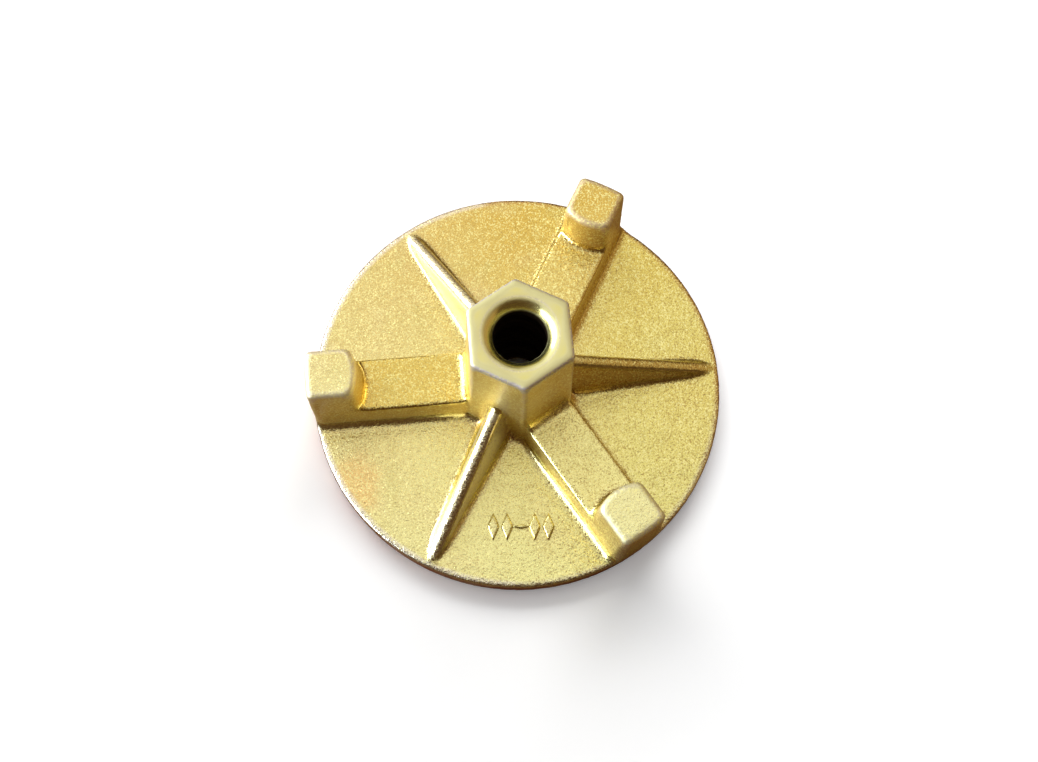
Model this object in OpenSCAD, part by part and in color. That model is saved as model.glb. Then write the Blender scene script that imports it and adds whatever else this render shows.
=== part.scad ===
// Flanged wing nut for formwork tie rods: a one-piece casting with a round
// bearing flange, a tall drafted hexagon hub, three striking lugs on low bars
// and three triangular ribs between them.
//
// The origin is the centre of the flat bearing face and +Z runs up the bore.
// One wing points along -X; the ribs stand halfway between the wings.

/* [Flange] */
// Diameter of the round bearing flange
flange_d = 130; // [104:1:160]
// Thickness of the flange
flange_t = 7; // [5.5:0.5:9]
// Rounding of the upper edge of the rim
rim_top_r = 1.2; // [0.6:0.1:1.8]
// Rounding of the lower edge of the rim
rim_low_r = 0.8; // [0.4:0.1:1.4]

/* [Hub] */
// Height of the whole nut, from the bearing face to the top of the hub
hub_h = 54; // [45:1:66]
// Width across the flats at the top of the hexagon
hub_af = 29.4; // [27:0.1:34]
// Draft of the six flats, in degrees
hub_draft = 1.8; // [0.5:0.1:2.5]
// Rounding of the six upright corners
hub_corner_r = 1.6; // [0.8:0.1:2.4]
// Rounding of the edge around the top face
hub_arris_r = 1.1; // [0.5:0.1:1.8]

/* [Bore] */
// Diameter of the bore at the crests of the rod thread
bore_d = 15.4; // [14.5:0.1:18]
// Diameter of the countersink in the top face
mouth_d = 21; // [19:0.1:23]
// Diameter of the lead-in cone in the bearing face
lead_in_d = 22; // [19:0.1:26]
// Depth of the lead-in cone
lead_in_h = 8.5; // [4:0.5:12]

/* [Wings] */
// Height of the top of a lug above the bearing face
lug_top = 32.4; // [27:0.1:40]
// Width of a lug at its top
lug_w = 15.3; // [12:0.1:16.5]
// Thickness of a lug along the radius, at its middle
lug_depth = 15.6; // [12:0.1:20]
// Plan radius of the curved face that looks at the hub
lug_face_r = 14.8; // [12:0.1:24]
// Height of the top of the low bar that ties a lug to the hub
bar_top = 17.6; // [14:0.1:20]
// How far the side of a bar stands out past the side of its lug
bar_step = 0.18; // [0.1:0.02:1]
// Rounding of the two upright corners of a lug that look at the hub
lug_corner_r = 2.8; // [1.5:0.1:3.5]
// Rounding of its two upright corners at the rim
lug_rim_r = 2; // [1.2:0.1:3]
// Draft of all the upright faces of bar and lug, in degrees
wing_draft = 2.4; // [1:0.1:3]
// Rounding of the edges around the top of a lug
lug_edge_r = 1.9; // [0.8:0.1:2.4]
// Rounding of the upper edges of a bar
bar_edge_r = 1.1; // [0.6:0.1:2]

/* [Ribs] */
// Height at which the crest of a rib meets the hub
rib_top = 27; // [22:0.1:32]
// Flat of the flange left between the tip of a rib and the rounded rim
rib_end = 0.4; // [0.3:0.1:6]
// Radius of the rounded crest
rib_crest_r = 2.4; // [1:0.1:3]
// Slope of the sides of a rib from upright, in degrees
rib_draft = 8; // [3:0.5:10]

/* [Fillets] */
// Fillet where bars, ribs and hub rise from the flange
base_fillet = 3; // [1.5:0.1:3.6]
// Fillet along a rib at its tip, as a share of the fillet at its foot
tip_share = 0.5; // [0.2:0.05:0.8]
// Fillet at the foot of a lug, on its bar
root_fillet = 2.2; // [1.5:0.1:4]
// Fillet between a bar and the hub
hub_fillet = 3.6; // [2:0.1:5]

/* [Hidden] */

wing_count = 3;
wing_pitch = 360 / wing_count;
first_wing = 180;
first_rib = first_wing + wing_pitch / 2;

hex_sides = 6;
hex_pitch = 360 / hex_sides;
hex_half = hex_pitch / 2;

// How far a strip reaches into the metal that it joins
sink = 1.5;
// Clear length past an edge that a cut runs off
runoff = 2;
// How deep inside the hub a bar starts, and a rib
bar_bury = 4.5;
rib_bury = 3;
// Length by which a ridge passes the rim, to be cut off there
rib_over = 3;
// A round crosses the faces that it blends by this little, so that the edge
// between them is clean and no sliver is left
bite = 0.002;
corner_bite = 0.03;

// Smoothness of round surfaces
round_fn = 96;
edge_fn = 32;

flange_r = flange_d / 2;
hub_slope = tan(hub_draft);
wing_slope = tan(wing_draft);
lug_w_foot = lug_w + 2 * (lug_top - bar_top) * wing_slope;

// Half the width across the flats at height z
function hub_half(z) = hub_af / 2 + (hub_h - z) * hub_slope;
// Half the width between the sides of a bar at height z
function bar_half(z) = lug_w_foot / 2 + bar_step + (bar_top - z) * wing_slope;
// Half the length of one side of the hexagon at height z
function side_half(z) = hub_half(z) * tan(hex_half);
// Distance from a corner to where a round of radius r leaves a face, when the
// corner turns by the given angle
function tangent_cut(r, turn) = r * tan(turn / 2);

bar_inner = hub_half(hub_h) - bar_bury;
bar_length = flange_r + runoff - bar_inner;

// Upright axis about which the inner face of a lug turns
lug_axis = flange_r - lug_depth - (lug_top - flange_t) * wing_slope + lug_face_r;
// Upright axis of the round at one of its corners
lug_corner_y = lug_w / 2 - lug_corner_r;
lug_corner_x = lug_axis - sqrt(pow(lug_face_r - lug_corner_r, 2) - pow(lug_corner_y, 2));
// The same for a corner at the rim, whose faces run down to the flange
wing_top_r = flange_r - (lug_top - flange_t) * wing_slope;
rim_corner_y = lug_w / 2 - lug_rim_r;
rim_corner_x = sqrt(pow(wing_top_r - lug_rim_r, 2) - pow(rim_corner_y, 2));
// A lug goes down past the rounded edges of its bar
lug_bury = bar_edge_r + sink;

// The crest of a rib falls in a straight line from the hub to the flange
rib_from = hub_half(rib_top);
rib_run = flange_r - rim_top_r - rib_end - rib_from;
rib_fall = atan((rib_top - flange_t) / rib_run);
rib_length = norm([rib_run, rib_top - flange_t]);
// Radius at which the remains of a rib are cut off, clear of the rounded rim
rib_limit = flange_r - rim_top_r - rib_end / 2;
// Depth of the rib's section below its crest, at right angles to the crest
rib_deep = rib_top;
// Half of the rib's width on the flange, below the start of its crest
rib_foot = rib_crest_r / cos(rib_draft)
    + ((rib_top - flange_t) * cos(rib_fall) - rib_crest_r) * tan(rib_draft);
// The trace of a rib's side on the flange runs at this angle to the radius
rib_trace = atan(sin(rib_fall) * tan(rib_draft));
// The rib's side leans this far from upright across that trace
rib_lean = asin(sin(rib_draft) * cos(rib_fall));

// Outline of a fillet that reaches this far along its floor, the first axis,
// and up its wall, which rises at the given angle from the floor. The metal
// behind both faces overlaps them by sink.
function cove_outline(reach, wall_angle) =
    let (
        wall = [cos(wall_angle), sin(wall_angle)],
        behind = [-sin(wall_angle), cos(wall_angle)]
    )
    [
        [reach, 0],
        [reach, -sink],
        behind * sink - [0, sink],
        wall * reach + behind * sink,
        wall * reach
    ];

// Fillet strip of the given length, centred along Y, its floor along +X
module cove(length, wall_angle, r) {
    reach = r / tan(wall_angle / 2);
    rotate([90, 0, 0])
        linear_extrude(length, center = true)
            difference() {
                polygon(cove_outline(reach, wall_angle));
                translate([reach, r])
                    circle(r + bite, $fn = edge_fn);
            }
}

// Fillet strip along +X whose radius tapers from r0 to r1, its floor along +Y.
// The round is a cone that touches both the floor and the wall.
module tapered_cove(length, wall_angle, r0, r1) {
    open = tan(wall_angle / 2);
    spread = (r0 - r1) / (length * open);
    rise = atan(spread * open / norm([1, spread]));
    apex_x = length * r0 / (r0 - r1);
    cone_h = apex_x + r0 + runoff;
    near = cove_outline(r0 / open, wall_angle);
    far = cove_outline(r1 / open, wall_angle);
    count = len(near);
    points = concat(
        [for (p = near) [0, p.x, p.y]],
        [for (p = far) [length, p.x, p.y]]
    );
    sides = [
        for (i = [0 : count - 1])
            let (j = (i + 1) % count)
            [i, j, j + count, i + count]
    ];
    ends = [
        [for (i = [count - 1 : -1 : 0]) i],
        [for (i = [0 : count - 1]) i + count]
    ];
    difference() {
        polyhedron(points = points, faces = concat(sides, ends));
        translate([apex_x, 0, 0])
            rotate([0, rise - 90, -atan(spread)])
                cylinder(r1 = bite, r2 = cone_h * tan(rise) + bite, h = cone_h,
                    $fn = round_fn);
    }
}

// Keeps what lies below the height top, between the widths low and high
module level_off(top, low, high) {
    intersection() {
        children();
        translate([low, top - flange_r])
            square([high - low, flange_r]);
    }
}

// Section of a body with leaning sides and rounded upper corners: half is
// the half width at the top, slope the lean of the sides, deep its height.
module drafted_section(half, top, deep, slope, r) {
    lean = atan(slope);
    cut = tangent_cut(r, 90 - lean);
    side = [sin(lean), -cos(lean)];
    low = half + deep * slope;
    level_off(top, -low, low)
        union() {
            polygon([
                [-low, top - deep],
                [low, top - deep],
                [half + side.x * cut, top + side.y * cut],
                [half - cut, top],
                [cut - half, top],
                [-half - side.x * cut, top + side.y * cut]
            ]);
            for (s = [-1, 1])
                translate([s * (half - cut), top - r])
                    circle(r + bite, $fn = edge_fn);
        }
}

module flange() {
    rotate_extrude($fn = round_fn)
        union() {
            polygon([
                [0, 0],
                [flange_r - rim_low_r, 0],
                [flange_r, rim_low_r],
                [flange_r, flange_t - rim_top_r],
                [flange_r - rim_top_r, flange_t],
                [0, flange_t]
            ]);
            translate([flange_r - rim_low_r, rim_low_r])
                circle(rim_low_r, $fn = edge_fn);
            translate([flange_r - rim_top_r, flange_t - rim_top_r])
                circle(rim_top_r, $fn = edge_fn);
        }
}

// Cutter that rounds one upright corner of the hexagon, which leans with it
module corner_cut() {
    top_r = hub_half(hub_h) / cos(hex_half);
    foot_r = hub_half(0) / cos(hex_half);
    lean = atan((foot_r - top_r) / hub_h);
    reach = tangent_cut(hub_corner_r, hex_pitch);
    back = hub_corner_r / cos(hex_half);
    touch = reach * [-sin(hex_half), cos(hex_half)];
    translate([foot_r, 0, 0])
        rotate([0, -lean, 0])
            translate([0, 0, -runoff])
                linear_extrude(hub_h + 2 * runoff)
                    difference() {
                        polygon([
                            touch,
                            [runoff, touch.y],
                            [runoff, -touch.y],
                            [touch.x, -touch.y]
                        ]);
                        translate([-back, 0])
                            circle(hub_corner_r + bite, $fn = edge_fn);
                    }
}

// Drafted hexagon with rounded corners and a rounded edge around its top
module hub() {
    difference() {
        intersection_for(i = [0 : hex_sides / 2 - 1])
            rotate([90, 0, i * hex_pitch])
                linear_extrude(flange_d, center = true)
                    drafted_section(hub_af / 2, hub_h, hub_h - sink, hub_slope,
                        hub_arris_r);
        for (i = [0 : hex_sides - 1])
            rotate([0, 0, hex_half + i * hex_pitch])
                corner_cut();
    }
}

// Everything that belongs to the wings stays inside this turned outline
module wing_envelope() {
    cut = tangent_cut(lug_edge_r, 90 - wing_draft);
    rotate_extrude($fn = round_fn)
        level_off(lug_top, 0, flange_r)
            union() {
                polygon([
                    [0, 0],
                    [flange_r, 0],
                    [flange_r, flange_t],
                    [wing_top_r + cut * sin(wing_draft),
                        lug_top - cut * cos(wing_draft)],
                    [wing_top_r - cut, lug_top],
                    [0, lug_top]
                ]);
                translate([wing_top_r - cut, lug_top - lug_edge_r])
                    circle(lug_edge_r + bite, $fn = edge_fn);
            }
}

// Low bar from the hub to the rim, along +X
module bar() {
    translate([bar_inner, 0, 0])
        rotate([90, 0, 90])
            linear_extrude(bar_length)
                drafted_section(bar_half(bar_top), bar_top,
                    bar_top - flange_t + sink, wing_slope, bar_edge_r);
}

// Body turned about its own upright axis, with radius r at its rounded top
// edge and, at the height foot_z, a fillet onto the metal that it stands on
module turned_face(r, foot_z, fillet, bury) {
    foot_r = r + (lug_top - foot_z) * wing_slope;
    cut = tangent_cut(lug_edge_r, 90 - wing_draft);
    root = tangent_cut(fillet, 90 - wing_draft);
    rotate_extrude($fn = round_fn)
        level_off(lug_top, 0, foot_r + root)
            difference() {
                union() {
                    polygon([
                        [0, foot_z - bury],
                        [foot_r + root, foot_z - bury],
                        [foot_r + root, foot_z],
                        [foot_r - root * sin(wing_draft),
                            foot_z + root * cos(wing_draft)],
                        [r + cut * sin(wing_draft),
                            lug_top - cut * cos(wing_draft)],
                        [r - cut, lug_top],
                        [0, lug_top]
                    ]);
                    translate([r - cut, lug_top - lug_edge_r])
                        circle(lug_edge_r + bite, $fn = edge_fn);
                }
                translate([foot_r + root, foot_z + fillet])
                    circle(fillet + bite, $fn = edge_fn);
            }
}

// Cutter for the sharp corner beyond a round whose axis is at the given
// point, from the side of the lug round to the direction of its other face
module sharp_corner(axis, direction, low_z) {
    reach = lug_w;
    translate([axis.x, axis.y, low_z - runoff])
        linear_extrude(lug_top - low_z + 2 * runoff)
            polygon([
                [0, 0],
                [0, reach],
                [sign(direction.x) * reach, reach],
                direction * reach / norm(direction)
            ]);
}

// Upright striking lug at the rim, along +X: a curved inner face between
// leaning sides, with turned rounds at its two inner corners
module lug() {
    axis = [lug_corner_x, lug_corner_y];
    intersection() {
        rotate([90, 0, 90])
            linear_extrude(flange_d)
                drafted_section(lug_w / 2, lug_top,
                    lug_top - bar_top + lug_bury, wing_slope, lug_edge_r);
        union() {
            difference() {
                translate([lug_axis, 0, 0])
                    turned_face(lug_face_r, bar_top, root_fillet, lug_bury);
                for (s = [0, 1])
                    mirror([0, s, 0])
                        sharp_corner(axis, axis - [lug_axis, 0],
                            bar_top - lug_bury);
            }
            for (s = [-1, 1])
                translate([axis.x, s * axis.y, 0])
                    turned_face(lug_corner_r + corner_bite, bar_top,
                        root_fillet, lug_bury);
        }
    }
}

// Fillets of a bar: both of its sides on the flange, and its end on the hub
module bar_fillets() {
    for (s = [-1, 1])
        translate([bar_inner + bar_length / 2, s * bar_half(flange_t), flange_t])
            rotate([0, 0, s * 90])
                cove(bar_length, 90 + wing_draft, base_fillet);
    translate([hub_half(bar_top), 0, bar_top])
        cove(2 * bar_half(bar_top) - bar_edge_r, 90 + hub_draft, hub_fillet);
}

// Bar, lug and fillets, with turned rounds at the two corners at the rim
module wing() {
    axis = [rim_corner_x, rim_corner_y];
    intersection() {
        union() {
            difference() {
                union() {
                    bar();
                    lug();
                    bar_fillets();
                }
                for (s = [0, 1])
                    mirror([0, s, 0])
                        sharp_corner(axis, axis, flange_t - sink);
            }
            for (s = [-1, 1])
                translate([axis.x, s * axis.y, 0])
                    turned_face(lug_rim_r + corner_bite, flange_t, base_fillet,
                        sink);
        }
        wing_envelope();
    }
}

// Ridge whose rounded crest lies on the line from the hub to the flange
module ridge() {
    low = rib_crest_r / cos(rib_draft) + (rib_deep - rib_crest_r) * tan(rib_draft);
    touch = rib_crest_r * [cos(rib_draft), sin(rib_draft) - 1];
    translate([rib_from, 0, rib_top])
        rotate([0, rib_fall, 0])
            translate([-rib_bury, 0, 0])
                rotate([90, 0, 90])
                    linear_extrude(rib_bury + rib_length + rib_over)
                        union() {
                            polygon([
                                [-low, -rib_deep],
                                [low, -rib_deep],
                                touch,
                                [-touch.x, touch.y]
                            ]);
                            translate([0, -rib_crest_r])
                                circle(rib_crest_r + bite, $fn = edge_fn);
                        }
}

// Tapered fillets along both sides of the ridge, cut off below its crest
module ridge_fillets() {
    trace_length = rib_run / cos(rib_trace);
    difference() {
        for (s = [0, 1])
            mirror([0, s, 0])
                translate([rib_from, rib_foot, flange_t])
                    rotate([0, 0, -rib_trace])
                        translate([-rib_bury, 0, 0])
                            tapered_cove(rib_bury + trace_length, 90 + rib_lean,
                                base_fillet, tip_share * base_fillet);
        translate([rib_from, 0, rib_top])
            rotate([0, rib_fall, 0])
                translate([-flange_d, -flange_r, -rib_crest_r])
                    cube([2 * flange_d, flange_d, flange_r]);
    }
}

// Triangular rib along +X, with the fillet of its flat of the hub
module rib() {
    intersection() {
        union() {
            ridge();
            ridge_fillets();
        }
        translate([0, 0, flange_t - sink])
            cylinder(r = rib_limit, h = hub_h, $fn = round_fn);
    }
    translate([hub_half(flange_t), 0, flange_t])
        cove(2 * side_half(flange_t), 90 + hub_draft, base_fillet);
}

// The bore: a countersink, the threaded length and the lead-in cone
module bore() {
    mouth_h = (mouth_d - bore_d) / 2;
    translate([0, 0, -runoff])
        cylinder(d = bore_d, h = hub_h + 2 * runoff, $fn = round_fn);
    translate([0, 0, hub_h - mouth_h])
        cylinder(d1 = bore_d, d2 = mouth_d, h = mouth_h, $fn = round_fn);
    cylinder(d1 = lead_in_d, d2 = bore_d, h = lead_in_h, $fn = round_fn);
}

module wing_nut() {
    color("goldenrod")
        difference() {
            union() {
                flange();
                hub();
                for (i = [0 : wing_count - 1]) {
                    rotate([0, 0, first_wing + i * wing_pitch])
                        wing();
                    rotate([0, 0, first_rib + i * wing_pitch])
                        rib();
                }
            }
            bore();
        }
}

wing_nut();
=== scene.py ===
"""Looks of a one-piece cast wing nut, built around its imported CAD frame.

The casting is grown from the CAD node: its skin is evened out, its edges are
melted as a sand mould leaves them, the rod thread is cut into the bore and a
fine unevenness is laid over it. A raised foundry mark stands on the flange.
Both pieces wear yellow zinc plating over cast iron.
"""

from __future__ import annotations

import logging
import math
from dataclasses import dataclass, field
from enum import Enum
from typing import Sequence, Union

import bmesh
import bpy
from mathutils import Matrix, Vector


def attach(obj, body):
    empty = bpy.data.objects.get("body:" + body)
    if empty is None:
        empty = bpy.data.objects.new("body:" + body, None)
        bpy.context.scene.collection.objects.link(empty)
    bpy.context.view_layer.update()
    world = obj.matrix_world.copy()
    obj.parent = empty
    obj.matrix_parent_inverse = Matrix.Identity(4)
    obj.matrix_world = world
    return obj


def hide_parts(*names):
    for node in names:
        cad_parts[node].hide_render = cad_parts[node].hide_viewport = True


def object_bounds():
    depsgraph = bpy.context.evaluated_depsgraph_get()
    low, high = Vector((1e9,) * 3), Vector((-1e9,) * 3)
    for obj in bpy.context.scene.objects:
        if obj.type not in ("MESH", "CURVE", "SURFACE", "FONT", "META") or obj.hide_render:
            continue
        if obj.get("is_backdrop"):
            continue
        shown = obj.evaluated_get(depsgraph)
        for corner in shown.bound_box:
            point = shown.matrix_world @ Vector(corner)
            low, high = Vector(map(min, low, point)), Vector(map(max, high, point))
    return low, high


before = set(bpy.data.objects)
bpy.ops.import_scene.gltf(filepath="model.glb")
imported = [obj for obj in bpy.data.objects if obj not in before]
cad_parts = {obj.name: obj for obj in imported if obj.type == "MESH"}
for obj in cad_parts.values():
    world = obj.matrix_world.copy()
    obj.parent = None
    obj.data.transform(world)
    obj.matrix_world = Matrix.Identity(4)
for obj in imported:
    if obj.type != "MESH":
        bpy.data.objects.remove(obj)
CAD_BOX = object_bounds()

MM = 0.001
BODY = "root"
NODE = "wing_nut"
METAL_SLOT = "plated_iron"
EDGE = "edge"
LEVEL = "level"

HUB_TOP = CAD_BOX[1].z
RIM_RADIUS = CAD_BOX[1].x - 0.1 * MM
PLATE_TOP = 7 * MM
RIM_TOP = PLATE_TOP - 1.4 * MM
LUG_TOP = 32.4 * MM
BORE_RADIUS = 7.7 * MM
MOUTH_RADIUS = 10.5 * MM
MOUTH_FLOOR = HUB_TOP - 2.8 * MM
LEAD_IN = 8.5 * MM
WEAR_LOW = 24 * MM
WEAR_HIGH = 29 * MM

log = logging.getLogger("wing_nut_scene")

Colour = tuple[float, float, float]
Feed = Union["Wire", bpy.types.NodeSocket, float, int, Sequence[float]]


class Lamp(Enum):
    """The soft lamps of the studio."""

    KEY = "key_lamp"
    SKY = "sky_lamp"
    BACK = "back_lamp"
    SIDE = "side_lamp"
    FILL = "fill_lamp"


# ---- node maths


class Wire:
    """A node's output, on which Python's operators stand for Math nodes."""

    def __init__(self, board: "Board", socket: bpy.types.NodeSocket) -> None:
        """Wrap a socket.

        Args:
            board: The board whose tree holds the socket.
            socket: The output socket.
        """
        self.board = board
        self.socket = socket

    def math(self, operation: str, *others: Feed, clamp: bool = False) -> "Wire":
        """Add one Math node that starts from this wire.

        Args:
            operation: The Math node's operation.
            others: Its further values or wires.
            clamp: Whether the result is held between 0 and 1.

        Returns:
            The Math node's output.
        """
        settings = {"operation": operation, "use_clamp": clamp}
        values = dict(enumerate((self, *others)))
        return self.board.node("ShaderNodeMath", settings, values)

    def __add__(self, other: Feed) -> "Wire":
        """self + other."""
        return self.math("ADD", other)

    __radd__ = __add__

    def __mul__(self, other: Feed) -> "Wire":
        """self * other."""
        return self.math("MULTIPLY", other)

    __rmul__ = __mul__

    def __sub__(self, other: Feed) -> "Wire":
        """self - other."""
        return self.math("SUBTRACT", other)

    def __rsub__(self, other: float) -> "Wire":
        """other - self."""
        return self * -1.0 + other

    def __truediv__(self, other: Feed) -> "Wire":
        """self / other."""
        return self.math("DIVIDE", other)

    def __pow__(self, other: Feed) -> "Wire":
        """self ** other."""
        return self.math("POWER", other)

    def __abs__(self) -> "Wire":
        """The size of self without its sign."""
        return self.math("ABSOLUTE")

    def least(self, other: Feed) -> "Wire":
        """The smaller of self and other."""
        return self.math("MINIMUM", other)

    def most(self, other: Feed) -> "Wire":
        """The larger of self and other."""
        return self.math("MAXIMUM", other)

    def clamped(self) -> "Wire":
        """self, held between 0 and 1."""
        return self.math("ADD", 0.0, clamp=True)

    def ramp(self, low: Feed, high: Feed, start: Feed = 0.0, end: Feed = 1.0) -> "Wire":
        """Map low to high onto start to end with a smooth, clamped step.

        Args:
            low: The value that gives start.
            high: The value that gives end.
            start: The result at low.
            end: The result at high.

        Returns:
            The stepped value.
        """
        settings = {"interpolation_type": "SMOOTHSTEP"}
        values = {0: self, 1: low, 2: high, 3: start, 4: end}
        return self.board.node("ShaderNodeMapRange", settings, values)


class Board:
    """A node tree under construction."""

    def __init__(self, tree: bpy.types.NodeTree) -> None:
        """Wrap a tree.

        Args:
            tree: The shader or geometry tree that nodes are added to.
        """
        self.tree = tree

    def feed(self, socket: bpy.types.NodeSocket, value: Feed) -> None:
        """Set an input from a value, or link it.

        Args:
            socket: The input socket.
            value: A wire or socket to link, or a plain value.
        """
        if isinstance(value, Wire):
            value = value.socket
        if isinstance(value, bpy.types.NodeSocket):
            self.tree.links.new(value, socket)
        else:
            socket.default_value = value

    def node(
        self,
        kind: str,
        settings: dict[str, object] | None = None,
        values: dict[Union[str, int], Feed] | None = None,
        out: Union[str, int] = 0,
    ) -> Wire:
        """Add a node, with its settings first and its inputs after.

        Args:
            kind: The node's type.
            settings: Its properties by name.
            values: Its inputs by name or place, as values or wires.
            out: The output that the wire starts from.

        Returns:
            The wire from that output.
        """
        made = self.tree.nodes.new(kind)
        for name, value in (settings or {}).items():
            setattr(made, name, value)
        for name, value in (values or {}).items():
            self.feed(made.inputs[name], value)
        return Wire(self, made.outputs[out]) if made.outputs else Wire(self, None)

    def other(self, wire: Wire, out: Union[str, int]) -> Wire:
        """Another output of the node that a wire starts from."""
        return Wire(self, wire.socket.node.outputs[out])

    def split(self, vector: Feed) -> tuple[Wire, Wire, Wire]:
        """The three parts of a vector."""
        x = self.node("ShaderNodeSeparateXYZ", values={0: vector})
        return x, self.other(x, 1), self.other(x, 2)

    def join(self, x: Feed, y: Feed, z: Feed) -> Wire:
        """A vector from three parts."""
        return self.node("ShaderNodeCombineXYZ", values={0: x, 1: y, 2: z})

    def vector(self, operation: str, *parts: Feed) -> Wire:
        """One Vector Math node on the given parts."""
        values = dict(enumerate(parts))
        return self.node("ShaderNodeVectorMath", {"operation": operation}, values)

    @staticmethod
    def radius(x: Wire, y: Wire) -> Wire:
        """How far a point is from the upright line at x = 0, y = 0."""
        return (x * x + y * y).math("SQRT")

    def position(self) -> Wire:
        """Where each point of a geometry is."""
        return self.node("GeometryNodeInputPosition")

    def outward(self) -> Wire:
        """Which way each point of a geometry faces."""
        return self.node("GeometryNodeInputNormal")

    def noted(self, shape: Wire, name: str, value: Feed) -> Wire:
        """Store a value on each point of a shape.

        Args:
            shape: The shape.
            name: The attribute's name.
            value: Its value.

        Returns:
            The shape with the attribute.
        """
        return self.node(
            "GeometryNodeStoreNamedAttribute",
            {"data_type": "FLOAT", "domain": "POINT"},
            {"Geometry": shape, "Name": name, "Value": value},
        )

    def level_noted(self, shape: Wire) -> Wire:
        """Store how level the shape is at each point, 1 for facing straight up."""
        return self.noted(shape, LEVEL, self.split(self.outward())[2])

    def read(self, name: str) -> Wire:
        """A value that was stored on the mesh, for a material."""
        kind = {"attribute_type": "GEOMETRY", "attribute_name": name}
        return self.node("ShaderNodeAttribute", kind, out="Fac")

    def blurred(self, vector: Wire, steps: Feed) -> Wire:
        """A vector of the points, averaged with its neighbours.

        Args:
            vector: The vector.
            steps: How many times it is averaged.

        Returns:
            The averaged vector.
        """
        settings = {"data_type": "FLOAT_VECTOR"}
        values = {"Value": vector, "Iterations": steps}
        return self.node("GeometryNodeBlurAttribute", settings, values)

    def scaled(self, vector: Feed, factor: Feed) -> Wire:
        """A vector times a number."""
        values = {"Vector": vector, "Scale": factor}
        return self.node("ShaderNodeVectorMath", {"operation": "SCALE"}, values)

    def noise(
        self, place: Feed, size: Feed, detail: float = 2.0, rough: float = 0.5, seed: Feed = 0.0
    ) -> Wire:
        """Even noise, about 0 to 1, whose lumps are about the given size.

        Args:
            place: The coordinates in metres.
            size: The size of a lump in metres.
            detail: How many finer layers are added.
            rough: How strong each finer layer is.
            seed: Where in the noise the pattern is taken from.

        Returns:
            The noise value.
        """
        values = {
            "Vector": place, "W": seed, "Scale": size**-1.0, "Detail": detail, "Roughness": rough,
        }
        return self.node("ShaderNodeTexNoise", {"noise_dimensions": "4D"}, values)

    def blend(self, share: Feed, first: Feed, second: Feed) -> Wire:
        """Mix two colours.

        Args:
            share: How much of the second is used.
            first: The first colour.
            second: The second colour.

        Returns:
            The mixed colour.
        """
        settings = {"data_type": "RGBA", "clamp_factor": True}
        return self.node("ShaderNodeMix", settings, {0: share, 6: first, 7: second}, out=2)


def rgb(colour: Colour) -> tuple[float, float, float, float]:
    """A colour as the four numbers that a colour socket holds."""
    return (*colour, 1.0)


def blank_material(name: str) -> tuple[bpy.types.Material, Board]:
    """Start a material with an empty tree.

    Args:
        name: The material's name.

    Returns:
        The material and the board of its tree.
    """
    made = bpy.data.materials.new(name)
    made.use_nodes = True
    made.node_tree.nodes.clear()
    return made, Board(made.node_tree)


# ---- finishes


class Measure(Enum):
    """What a finish can vary along."""

    X = "rightward"
    Y = "farward"
    Z = "upward"
    BESIDE = "away from the middle line, near or far"
    NEAR_LEFT = "towards the near left"
    NEAR_RIGHT = "rightward and a little nearer"
    RADIUS = "away from the bore's axis"
    STAIN = "away from the stain's ragged middle"
    EDGE = "about 1 on an edge, below 0 in a hollow"
    LEVEL = "1 on a level face, 0 on an upright one"
    PATCH = "the broad patches"
    CLOUD = "the smaller clouds"
    FLECK = "the finest flecks"


@dataclass(frozen=True)
class Bound:
    """A smooth step along a measure, from low at start to high at end."""

    along: Measure
    start: float
    end: float
    low: float = 0.0
    high: float = 1.0


Zone = tuple[Bound, ...]


@dataclass(frozen=True)
class Mottle:
    """A seeded noise in a finish."""

    size: float
    detail: float
    rough: float
    seed: float

    def at(self, place: Wire) -> Wire:
        """The noise at a place, about 0 to 1."""
        return place.board.noise(place, self.size, self.detail, self.rough, self.seed)


class Spot:
    """What a finish knows about the point that it colours."""

    def __init__(self, board: Board, finish: "PlatedIron") -> None:
        """Read the point's place, its notes and the finish's mottles there.

        Args:
            board: The material's board.
            finish: The finish.
        """
        self.board = board
        self.place = board.node("ShaderNodeTexCoord", out="Object")
        x, y, z = board.split(self.place)
        cloud = finish.clouds.at(self.place)
        from_stain = board.radius(x - finish.stain_at[0], y - finish.stain_at[1])
        self.measures = {
            Measure.X: x,
            Measure.Y: y,
            Measure.Z: z,
            Measure.BESIDE: abs(y),
            Measure.NEAR_LEFT: x * -finish.left_lean - y,
            Measure.NEAR_RIGHT: x - y * finish.near_lean,
            Measure.RADIUS: board.radius(x, y),
            Measure.STAIN: from_stain / finish.stain_radius + (cloud - 0.5) * finish.stain_rag,
            Measure.EDGE: board.read(EDGE),
            Measure.LEVEL: board.read(LEVEL),
            Measure.PATCH: finish.patches.at(self.place),
            Measure.CLOUD: cloud,
            Measure.FLECK: finish.flecks.at(self.place),
        }

    def step(self, bound: Bound) -> Wire:
        """How far the spot has come along a bound."""
        measure = self.measures[bound.along]
        return measure.ramp(bound.start, bound.end, bound.low, bound.high)

    def within(self, zone: Zone) -> Feed:
        """How far the spot lies within all of a zone's bounds.

        Args:
            zone: The bounds, none for everywhere.

        Returns:
            The product of the steps.
        """
        share: Feed = 1.0
        for bound in zone:
            share = self.step(bound) * share
        return share


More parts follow.
